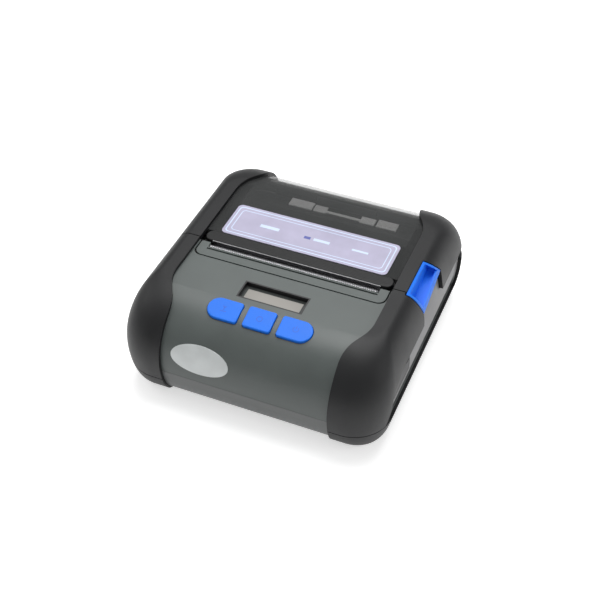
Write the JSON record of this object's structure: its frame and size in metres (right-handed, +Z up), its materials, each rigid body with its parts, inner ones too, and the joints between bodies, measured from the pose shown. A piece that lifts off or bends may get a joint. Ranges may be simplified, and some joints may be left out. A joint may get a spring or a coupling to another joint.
{
  "type": "portable receipt printer",
  "caption": "Portable battery receipt printer for wide paper rolls: rubber bumpers, smoked hinged lid, release lever, display, keys and a full print mechanism.",
  "frame": {"origin": "middle of the footprint, on the surface that the printer stands on", "axes": "+Z up, -Y to the front with the keys and the display, +X to the side with the release lever and the ports"},
  "size_m": [0.1602, 0.171, 0.0625],
  "materials": {
    "body_grey": "satin",
    "panel_grey": "satin",
    "bumper_rubber": "matte",
    "smoked": "gloss",
    "dark_plastic": "matte",
    "blue": "satin",
    "label_lilac": "matte",
    "badge_silver": "satin",
    "lcd_pane": "gloss",
    "steel": "brushed",
    "bright_steel": "polished",
    "alu": "brushed",
    "brass": "machined",
    "platen_rubber": "matte",
    "gear_nylon": "satin",
    "board_green": "satin",
    "ceramic": "satin",
    "silicone": "matte",
    "battery_black": "matte"
  },
  "bodies": {
    "base": {"upper_housing": "body_grey", "mouth_bezel": "body_grey", "rear_panel": "body_grey", "side_panel_left": "panel_grey", "side_panel_right": "panel_grey", "lower_housing": "panel_grey", "front_bumper_left": "bumper_rubber", "front_bumper_right": "bumper_rubber", "lower_bumper_left": "bumper_rubber", "lower_bumper_right": "bumper_rubber", "lcd_bezel": "dark_plastic", "paper_well": "dark_plastic", "battery_cover": "dark_plastic", "lcd_module": "dark_plastic", "front_badge": "badge_silver", "lcd_glass": "lcd_pane", "print_frame": "steel", "lever_pin": "steel", "hinge_pin": "steel", "idler_pin": "steel", "housing_screws": "steel", "head_springs": "steel", "tear_bar": "bright_steel", "heat_sink": "alu", "motor": "alu", "usb_socket": "alu", "main_board": "board_green", "key_board": "board_green", "thermal_head": "ceramic", "key_mat": "silicone", "battery_pack": "battery_black", "power_jack": "battery_black"},
    "lid": {"lid_frame": "dark_plastic", "lid_window": "smoked", "lid_front_strip": "dark_plastic", "lid_edge_trim": "bright_steel", "lid_label": "label_lilac", "lid_bumper_left": "bumper_rubber", "lid_bumper_right": "bumper_rubber", "platen_bushes": "gear_nylon"},
    "platen": {"platen_roller": "platen_rubber", "platen_shaft": "steel", "platen_gear": "gear_nylon"},
    "idler": {"idler_gear": "gear_nylon"},
    "motor_rotor": {"motor_pinion": "brass", "motor_shaft": "steel"},
    "latch": {"latch_shaft": "steel", "latch_hook_left": "steel", "latch_hook_right": "steel"},
    "lever": {"release_lever": "blue"},
    "feed": {"feed_key": "blue"},
    "select": {"select_key": "blue"},
    "power": {"power_key": "blue"},
    "roll_guide_left": {"guide_left": "dark_plastic"},
    "roll_guide_right": {"guide_right": "dark_plastic"},
    "roll_guide_pinion": {"guide_pinion": "dark_plastic"},
    "flap": {"port_flap": "dark_plastic"}
  },
  "joints": [
    {"name": "lid_hinge", "type": "hinge", "parent": "base", "child": "lid", "pos_m": [0, 0.079, 0.0387], "axis": [-1, 0, 0], "range_deg": [0, 90]},
    {"name": "platen_spin", "type": "hinge", "parent": "lid", "child": "platen", "pos_m": [0, -0.0034, 0.0475], "axis": [1, 0, 0], "continuous": true},
    {"name": "idler_spin", "type": "hinge", "parent": "base", "child": "idler", "pos_m": [-0.0662, -0.00942, 0.03032], "axis": [1, 0, 0], "continuous": true},
    {"name": "motor_spin", "type": "hinge", "parent": "base", "child": "motor_rotor", "pos_m": [-0.0662, -0.01933, 0.01764], "axis": [1, 0, 0], "continuous": true},
    {"name": "lever_turn", "type": "hinge", "parent": "base", "child": "lever", "pos_m": [0.0706, 0.009, 0.0446], "axis": [0, 1, 0], "range_deg": [0, 15]},
    {"name": "latch_turn", "type": "hinge", "parent": "base", "child": "latch", "pos_m": [0, 0.0059, 0.038], "axis": [1, 0, 0], "range_deg": [-7.5, 0], "stiffness_Nm_per_rad": 0.25, "springref_deg": 17.19},
    {"name": "feed_press", "type": "slide", "parent": "base", "child": "feed", "axis": [0, 0.2343, -0.9722], "range_m": [0, 0.0008], "stiffness_N_per_m": 1200, "springref_m": -0.0004},
    {"name": "select_press", "type": "slide", "parent": "base", "child": "select", "axis": [0, 0.2343, -0.9722], "range_m": [0, 0.0008], "stiffness_N_per_m": 1200, "springref_m": -0.0004},
    {"name": "power_press", "type": "slide", "parent": "base", "child": "power", "axis": [0, 0.2343, -0.9722], "range_m": [0, 0.0008], "stiffness_N_per_m": 1200, "springref_m": -0.0004},
    {"name": "guide_left_slide", "type": "slide", "parent": "base", "child": "roll_guide_left", "axis": [1, 0, 0], "range_m": [0, 0.027]},
    {"name": "guide_right_slide", "type": "slide", "parent": "base", "child": "roll_guide_right", "axis": [-1, 0, 0], "range_m": [0, 0.027]},
    {"name": "guide_pinion_spin", "type": "hinge", "parent": "base", "child": "roll_guide_pinion", "pos_m": [0, 0.0375, 0.005], "axis": [0, 0, 1], "range_deg": [-246, 0]},
    {"name": "port_flap_hinge", "type": "hinge", "parent": "base", "child": "flap", "pos_m": [0.07725, -0.0425, 0.0261], "axis": [0, 1, 0], "range_deg": [0, 95]}
  ],
  "couplings": [
    {"joint": "idler_spin", "follows": "platen_spin", "ratio": -0.625},
    {"joint": "motor_spin", "follows": "platen_spin", "ratio": 1.4286},
    {"joint": "lever_turn", "follows": "latch_turn", "ratio": -2},
    {"joint": "guide_right_slide", "follows": "guide_left_slide", "ratio": 1},
    {"joint": "guide_pinion_spin", "follows": "guide_left_slide", "rad_per_m": -158.73}
  ]
}
